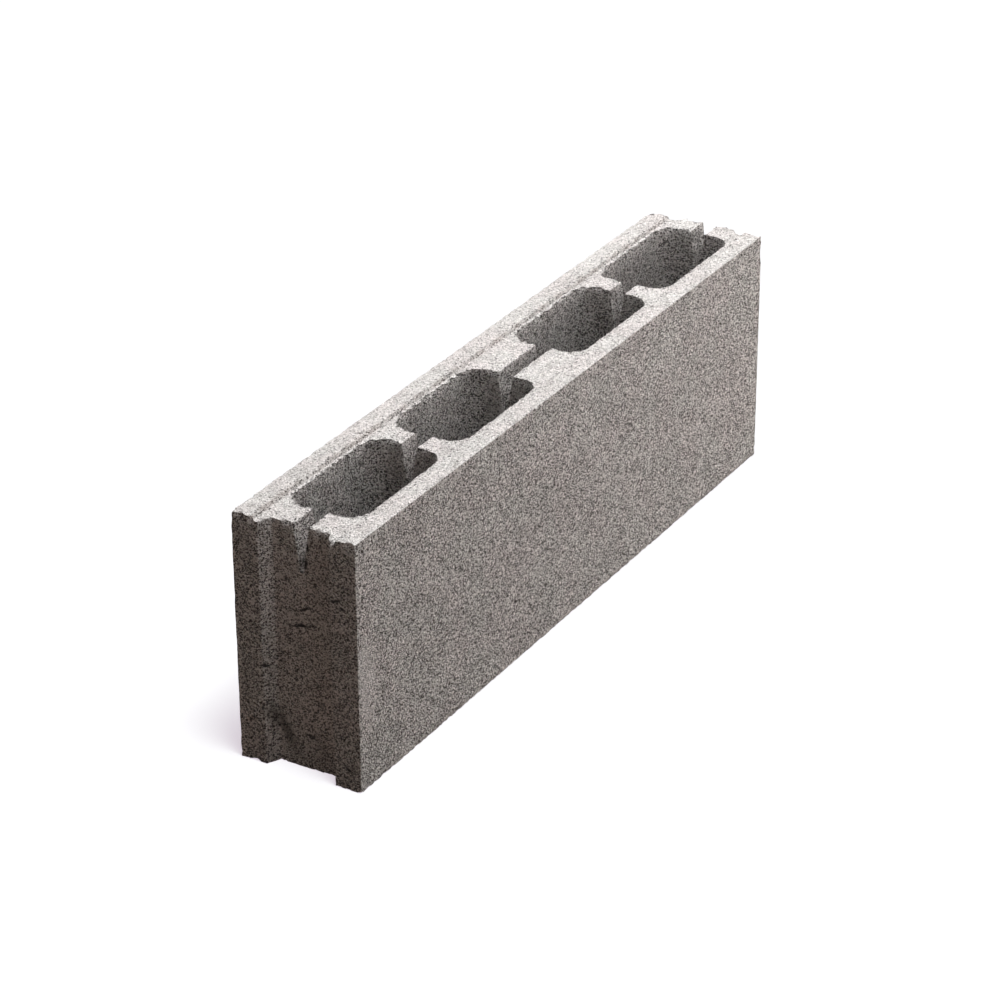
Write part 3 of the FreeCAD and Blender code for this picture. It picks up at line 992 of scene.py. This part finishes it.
def add_camera(scene, studio):
    """The camera: at its distance from its aim, in the direction of its azimuth and elevation."""
    lens = bpy.data.cameras.new("camera")
    lens.lens, lens.sensor_width = studio.lens, SENSOR_WIDTH
    lens.dof.use_dof = False
    camera = bpy.data.objects.new("camera", lens)
    scene.collection.objects.link(camera)
    level = math.cos(studio.elevation)
    back = Vector((
        math.sin(studio.azimuth) * level, -math.cos(studio.azimuth) * level, math.sin(studio.elevation)
    ))
    turn = back.to_track_quat("Z", "Y").to_matrix() @ Matrix.Rotation(studio.roll, 3, "Z")
    spot = Vector(studio.aim) + back * studio.distance
    camera.matrix_world = Matrix.Translation(spot) @ turn.to_4x4()
    scene.camera = camera


# Each soft box's name, colour, width, place and aim, in metres. Its power is a property of the studio.
SOFT_BOXES = (
    ("overhead", "ffffff", 1.4, (0.5, 0.7, 1.8), (0.05, 0, 0.1)),
    ("top", "ffffff", 0.7, (0.2, -0.3, 2.0), (0, 0, 0.1)),
    ("front_top", "ffffff", 0.5, (-0.2, -0.8, 2.0), (0, 0, 0.1)),
    ("high", "fffbf8", 0.5, (0.5, -0.25, 1.0), (0, 0, 0.1)),
    ("low", "fffbf8", 0.5, (0.7, -0.9, 0.25), (0, 0, 0.1)),
    ("front", "fffbf8", 0.5, (0.35, -0.75, 0.25), (0.1, 0, 0.1)),
    ("side", "fffbf8", 0.4, (-0.75, -1.3, 0.9), (-0.3, 0, 0.15)),
    ("end", "ffe4d6", 0.8, (-1.8, -0.4, 0.5), (-0.3, 0, 0.1)),
    ("back", "ffffff", 1.0, (1.2, 2.2, 0.6), (0, 0, 0.1)),
)


class BLOCK_OT_cast(bpy.types.Operator):
    """Builds the block from its sizes, wears its arrises and gives it its concrete"""

    bl_idname = "block.cast"
    bl_label = "Cast the block"

    def execute(self, context):
        form = Form(context.scene.block_sizes)
        mesh = build_block(form, context.scene.block_concrete)
        mesh.materials.append(pressed_concrete(context.scene.block_concrete))
        block = bpy.data.objects.new(PIECE, mesh)
        context.scene.collection.objects.link(block)
        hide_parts(NODE)
        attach(block, BODY)
        return {"FINISHED"}


class BLOCK_OT_set_studio(bpy.types.Operator):
    """Adds the paper floor, the soft boxes, the world and the camera"""

    bl_idname = "block.set_studio"
    bl_label = "Set the studio"

    def execute(self, context):
        studio = context.scene.block_studio
        paper = add_sheet("paper", studio_paper())
        paper.visible_diffuse = False
        card = add_sheet("bounce_card", grey_card())
        card.visible_camera = card.visible_glossy = card.visible_transmission = False
        lit = (bpy.data.objects[PIECE], card)
        add_floor_light(studio.floor_power, [paper])
        for name, hex_code, size, spot, aim in SOFT_BOXES:
            watts = getattr(studio, f"{name}_power")
            add_soft_box(f"{name}_box", watts, hex_code, size, spot, aim, lit)
        add_world(context.scene)
        add_camera(context.scene, studio)
        context.scene.view_settings.view_transform = "Standard"
        return {"FINISHED"}


class BLOCK_PT_sidebar(bpy.types.Panel):
    """Lists the block's sizes, its looks and the steps that make it"""

    bl_idname = "BLOCK_PT_sidebar"
    bl_label = "Concrete partition block"
    bl_space_type = "VIEW_3D"
    bl_region_type = "UI"
    bl_category = "Block"

    def draw(self, context):
        scene = context.scene
        for operator, group in (
            ("block.cast", scene.block_sizes), ("block.cast", scene.block_concrete),
            ("block.set_studio", scene.block_studio),
        ):
            column = self.layout.column(align=True)
            for name in type(group).__annotations__:
                column.prop(group, name)
            self.layout.operator(operator)


GROUPS = {"block_sizes": BlockSizes, "block_concrete": ConcreteLook, "block_studio": StudioLook}
CLASSES = (*GROUPS.values(), BLOCK_OT_cast, BLOCK_OT_set_studio, BLOCK_PT_sidebar)


def register():
    for new_class in CLASSES:
        bpy.utils.register_class(new_class)
    for name, group in GROUPS.items():
        setattr(bpy.types.Scene, name, bpy.props.PointerProperty(type=group))


def unregister():
    for name in GROUPS:
        delattr(bpy.types.Scene, name)
    for old_class in reversed(CLASSES):
        bpy.utils.unregister_class(old_class)


def main():
    register()
    bpy.ops.block.cast()
    bpy.ops.block.set_studio()


if __name__ == "__main__":
    main()
